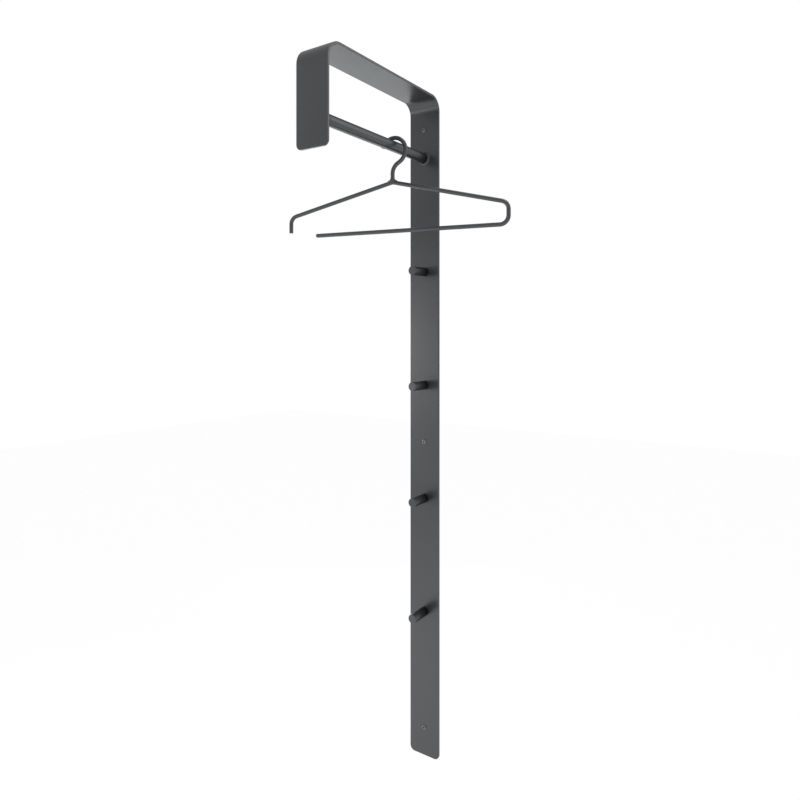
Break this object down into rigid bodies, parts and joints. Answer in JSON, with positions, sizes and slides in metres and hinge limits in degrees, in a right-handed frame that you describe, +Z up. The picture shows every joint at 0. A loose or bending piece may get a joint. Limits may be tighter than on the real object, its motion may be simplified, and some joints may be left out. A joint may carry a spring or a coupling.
{
  "type": "wall coat rack",
  "caption": "Wall-mounted coat rack bent from one flat steel bar, with a hanging rail under its arm, round pegs down the wall plate and a wire hanger on the rail.",
  "frame": {"origin": "where the axis of the top wall fixing meets the wall plane, which is the back face of the plate", "axes": "+Z up along the plate, +Y into the wall along the fixings and the rail, +X to the right along the wall as seen from the room"},
  "size_m": [0.3932, 0.346, 1.18],
  "materials": {
    "powder_coat": "satin anthracite powder coat on steel",
    "screw_steel": "dull grey steel",
    "zinc_steel": "bright zinc plate",
    "nylon": "plain grey nylon"
  },
  "bodies": {
    "rack": {"bent_strip": "powder_coat", "rail_tube": "powder_coat", "rail_weld_wall": "powder_coat", "rail_weld_leg": "powder_coat", "peg_1": "powder_coat", "peg_2": "powder_coat", "peg_3": "powder_coat", "peg_4": "powder_coat", "peg_screw_1": "zinc_steel", "peg_screw_2": "zinc_steel", "peg_screw_3": "zinc_steel", "peg_screw_4": "zinc_steel", "wall_screw_top": "screw_steel", "wall_screw_middle": "screw_steel", "wall_screw_bottom": "screw_steel", "wall_plug_top": "nylon", "wall_plug_middle": "nylon", "wall_plug_bottom": "nylon"},
    "hanger": {"hanger_frame": "powder_coat", "hanger_hook": "powder_coat", "hanger_weld": "powder_coat"}
  },
  "joints": [
    {"name": "hanger_slide", "type": "slide", "parent": "rack", "child": "hanger", "axis": [0, 1, 0], "range_m": [-0.186, 0.056]}
  ]
}
